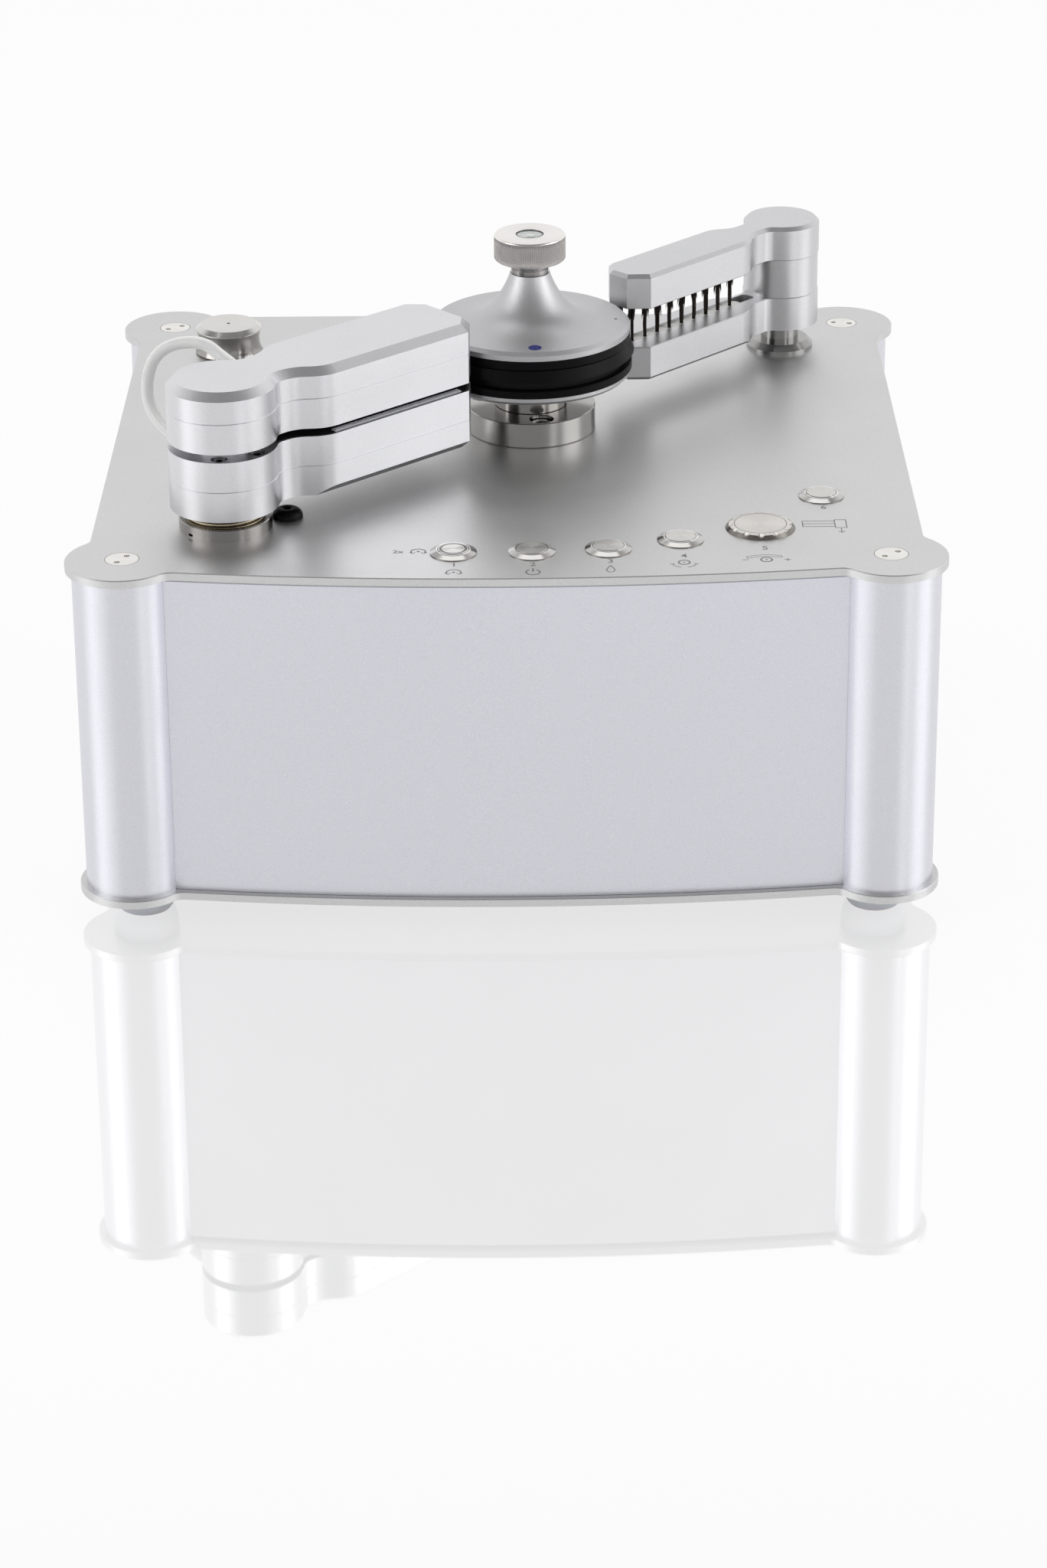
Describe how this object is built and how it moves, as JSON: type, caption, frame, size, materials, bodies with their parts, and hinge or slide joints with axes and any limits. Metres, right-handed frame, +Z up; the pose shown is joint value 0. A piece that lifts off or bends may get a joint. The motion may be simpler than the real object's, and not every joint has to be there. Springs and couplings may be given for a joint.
{
  "type": "record cleaning machine",
  "caption": "Desktop machine for washing and vacuum-drying a disc: a metal case on pillars, a turntable with a clamp, a brush arm, a suction arm and a row of controls.",
  "frame": {"origin": "on the floor, midway between the four pillars", "axes": "+X to the right, +Y to the rear, +Z up, seen from the controls"},
  "size_m": [0.414, 0.382, 0.2842],
  "materials": {
    "silver_plate": "fine bead-blasted, clear anodised",
    "pillar_metal": "drawn and satin anodised",
    "arm_metal": "fine bead-blasted, clear anodised",
    "clamp_metal": "turned, clear anodised",
    "steel": "turned stainless steel, polished",
    "screw_steel": "socket head, passivated",
    "brass": "bright",
    "rubber": "matt black",
    "lining": "matt black",
    "foot_rubber": "milky, soft",
    "pile": "short silver-grey pile",
    "bristle": "dark fibres",
    "cream_plastic": "matt",
    "clear_hose": "clear, soft",
    "vial": "clear",
    "blue_inlay": "gloss",
    "button_cap": "satin",
    "tank_plastic": "milky, matt",
    "dark_plastic": "matt",
    "motor_metal": "matt",
    "board": "green laminate",
    "belt": "ground flat"
  },
  "bodies": {
    "chassis": {"top_plate": "silver_plate", "bottom_plate": "silver_plate", "front_panel": "silver_plate", "rear_panel": "silver_plate", "side_panels": "silver_plate", "pillars": "pillar_metal", "cap_screws": "steel", "feet": "foot_rubber", "foot_screws": "screw_steel", "spindle_base": "steel", "base_screws": "screw_steel", "spindle_bush": "brass", "drive_belt": "belt", "platter_motor": "motor_metal", "vacuum_ring": "steel", "brush_post": "steel", "button_bezels": "button_cap", "dial_body": "dark_plastic", "grommet": "rubber", "waste_tank": "tank_plastic", "clean_tank": "tank_plastic", "vacuum_turbine": "motor_metal", "liquid_pump": "dark_plastic", "control_board": "board", "power_supply": "motor_metal", "mains_inlet": "dark_plastic", "mains_pins": "steel"},
    "platter": {"platter_shaft": "steel", "platter_disc": "clamp_metal", "platter_seal": "rubber", "record_pad": "rubber", "platter_pulley": "clamp_metal"},
    "motor_rotor": {"motor_pulley": "steel"},
    "clamp": {"clamp_body": "clamp_metal", "clamp_inlay": "blue_inlay", "clamp_seal": "rubber"},
    "clamp_grip": {"clamp_knob": "steel", "bubble_level": "vial"},
    "vacuum_swivel": {"vacuum_tube": "steel"},
    "vacuum_arm": {"vacuum_lower_cover": "arm_metal", "vacuum_lower_body": "arm_metal", "vacuum_upper_body": "arm_metal", "vacuum_upper_cover": "arm_metal", "hub_screws": "screw_steel", "arm_pads": "lining", "arm_piles": "pile", "arm_hose": "clear_hose", "arm_spring": "brass"},
    "brush_arm": {"brush_lower": "arm_metal", "brush_upper": "arm_metal", "brush_spacer": "arm_metal", "brush_strips": "cream_plastic", "brush_tufts": "bristle"},
    "auto_key": {"auto_button": "button_cap"},
    "power_key": {"power_button": "button_cap"},
    "liquid_key": {"liquid_button": "button_cap"},
    "platter_key": {"platter_button": "button_cap"},
    "vacuum_key": {"vacuum_button": "button_cap"},
    "dial": {"speed_dial": "button_cap"},
    "filler": {"filler_cap": "steel"}
  },
  "joints": [
    {"name": "platter_turn", "type": "hinge", "parent": "chassis", "child": "platter", "pos_m": [0.0119, 0.0096, 0.1824], "axis": [0, 0, 1], "continuous": true},
    {"name": "motor_turn", "type": "hinge", "parent": "chassis", "child": "motor_rotor", "pos_m": [0.0959, 0.0096, 0.1824], "axis": [0, 0, 1], "continuous": true},
    {"name": "clamp_lift", "type": "slide", "parent": "platter", "child": "clamp", "axis": [0, 0, 1], "range_m": [0, 0.045]},
    {"name": "grip_turn", "type": "hinge", "parent": "clamp", "child": "clamp_grip", "pos_m": [0.0119, 0.0096, 0.2712], "axis": [0, 0, 1], "range_deg": [0, 180]},
    {"name": "vacuum_swing", "type": "hinge", "parent": "chassis", "child": "vacuum_swivel", "pos_m": [-0.134, -0.1223, 0.1824], "axis": [0, 0, 1], "range_deg": [0, 75]},
    {"name": "vacuum_float", "type": "slide", "parent": "vacuum_swivel", "child": "vacuum_arm", "axis": [0, 0, 1], "range_m": [-0.002, 0.002], "stiffness_N_per_m": 6000, "springref_m": 0.00167, "deforming": ["arm_spring"]},
    {"name": "brush_swing", "type": "hinge", "parent": "chassis", "child": "brush_arm", "pos_m": [0.1445, 0.13, 0.1968], "axis": [0, 0, 1], "range_deg": [0, 60]},
    {"name": "auto_press", "type": "slide", "parent": "chassis", "child": "auto_key", "axis": [0, 0, -1], "range_m": [0, 0.0015], "stiffness_N_per_m": 800, "springref_m": -0.001},
    {"name": "power_press", "type": "slide", "parent": "chassis", "child": "power_key", "axis": [0, 0, -1], "range_m": [0, 0.0015], "stiffness_N_per_m": 800, "springref_m": -0.001},
    {"name": "liquid_press", "type": "slide", "parent": "chassis", "child": "liquid_key", "axis": [0, 0, -1], "range_m": [0, 0.0015], "stiffness_N_per_m": 800, "springref_m": -0.001},
    {"name": "platter_press", "type": "slide", "parent": "chassis", "child": "platter_key", "axis": [0, 0, -1], "range_m": [0, 0.0015], "stiffness_N_per_m": 800, "springref_m": -0.001},
    {"name": "vacuum_press", "type": "slide", "parent": "chassis", "child": "vacuum_key", "axis": [0, 0, -1], "range_m": [0, 0.0015], "stiffness_N_per_m": 800, "springref_m": -0.001},
    {"name": "dial_turn", "type": "hinge", "parent": "chassis", "child": "dial", "pos_m": [0.1205, -0.1303, 0.1824], "axis": [0, 0, 1], "range_deg": [-140, 140]},
    {"name": "filler_lift", "type": "slide", "parent": "chassis", "child": "filler", "axis": [0, 0, 1], "range_m": [0, 0.02]}
  ],
  "couplings": [
    {"joint": "motor_turn", "follows": "platter_turn", "ratio": 5}
  ]
}
